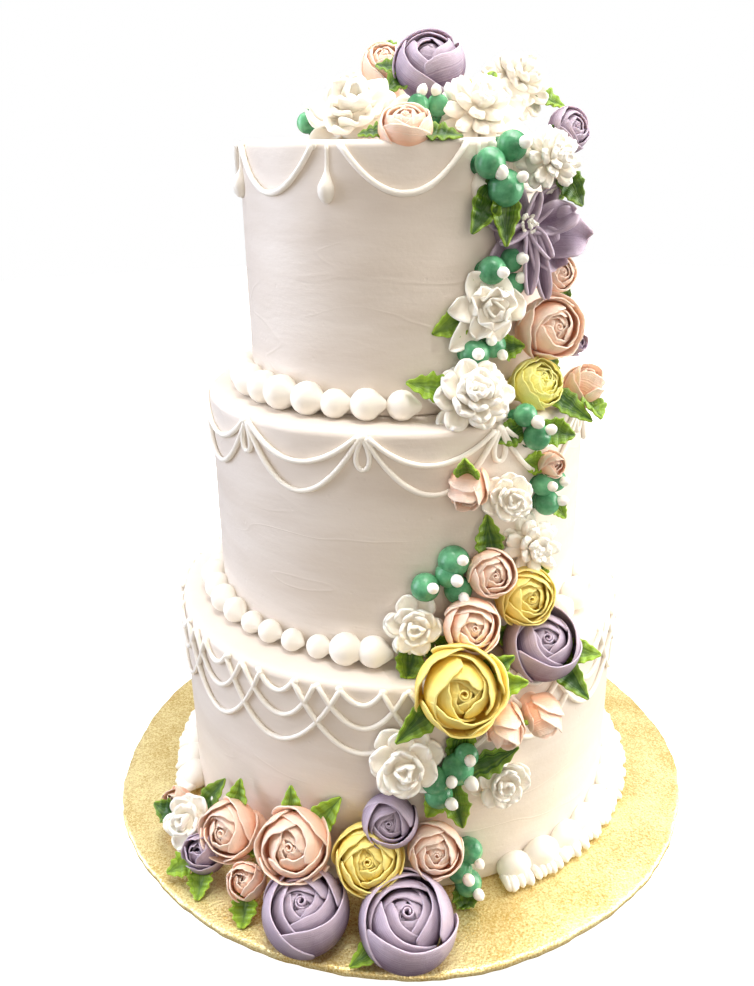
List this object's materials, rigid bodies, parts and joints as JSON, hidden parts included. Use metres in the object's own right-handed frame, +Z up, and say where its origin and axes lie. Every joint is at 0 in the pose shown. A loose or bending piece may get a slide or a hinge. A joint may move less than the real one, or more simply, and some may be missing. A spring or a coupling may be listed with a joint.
{
  "type": "three-tier cake on a cake board",
  "caption": "Tall round three-tier cake in pale icing with swagged string work, beaded borders and a cascade of piped flowers, on a thin round gold board.",
  "frame": {"origin": "middle of the underside of the round board that the cake stands on", "axes": "+Z up, -Y towards the front, where the cascade of flowers reaches the board, +X to the right seen from the front"},
  "size_m": [0.358, 0.3647, 0.4332],
  "materials": {
    "icing": "satin",
    "white_icing": "satin",
    "peach_icing": "satin",
    "yellow_icing": "satin",
    "purple_icing": "satin",
    "jade_icing": "gloss",
    "leaf_icing": "satin",
    "gold_board": "foil"
  },
  "bodies": {
    "root": {"tier_lower": "icing", "tier_middle": "icing", "tier_upper": "icing", "border_lower": "icing", "border_middle": "icing", "border_upper": "icing", "rose_purple_crown": "purple_icing", "pom_white_crown_front": "white_icing", "pom_white_crown_left": "white_icing", "rosette_peach_crown_front": "peach_icing", "berries_crown_front": "jade_icing", "pom_white_crown_back": "white_icing", "rosette_peach_crown_back": "peach_icing", "rosette_yellow_crown": "yellow_icing", "berries_crown_left": "jade_icing", "rosette_lilac_crown_right": "purple_icing", "berries_upper_high": "jade_icing", "pom_white_upper": "white_icing", "star_purple_upper": "purple_icing", "bud_purple_upper": "purple_icing", "rose_peach_upper": "peach_icing", "rosette_peach_upper": "peach_icing", "berries_upper_middle": "jade_icing", "open_white_upper": "white_icing", "pom_white_ledge": "white_icing", "rosette_yellow_ledge": "yellow_icing", "bud_peach_ledge": "peach_icing", "bud_purple_ledge": "purple_icing", "berries_ledge_high": "jade_icing", "berries_ledge_low": "jade_icing", "bud_peach_middle": "peach_icing", "bud_peach_middle_small": "peach_icing", "open_white_middle": "white_icing", "berries_middle_high": "jade_icing", "pom_white_middle": "white_icing", "rosette_peach_middle": "peach_icing", "berries_middle_low": "jade_icing", "rose_yellow_middle": "yellow_icing", "rosette_peach_middle_low": "peach_icing", "rose_purple_lower": "purple_icing", "rose_yellow_lower": "yellow_icing", "open_white_lower_left": "white_icing", "bud_peach_lower": "peach_icing", "bud_peach_lower_right": "peach_icing", "pom_white_lower": "white_icing", "berries_lower": "jade_icing", "open_white_lower": "white_icing", "rose_yellow_base": "yellow_icing", "rosette_purple_base": "purple_icing", "rosette_peach_base": "peach_icing", "rose_peach_base": "peach_icing", "rose_purple_base_front": "purple_icing", "rose_purple_base_left": "purple_icing", "berries_base": "jade_icing", "rose_peach_base_left": "peach_icing", "bud_peach_base": "peach_icing", "bud_purple_base": "purple_icing", "open_white_base": "white_icing", "bud_peach_base_left": "peach_icing", "cake_board": "gold_board"}
  },
  "joints": []
}
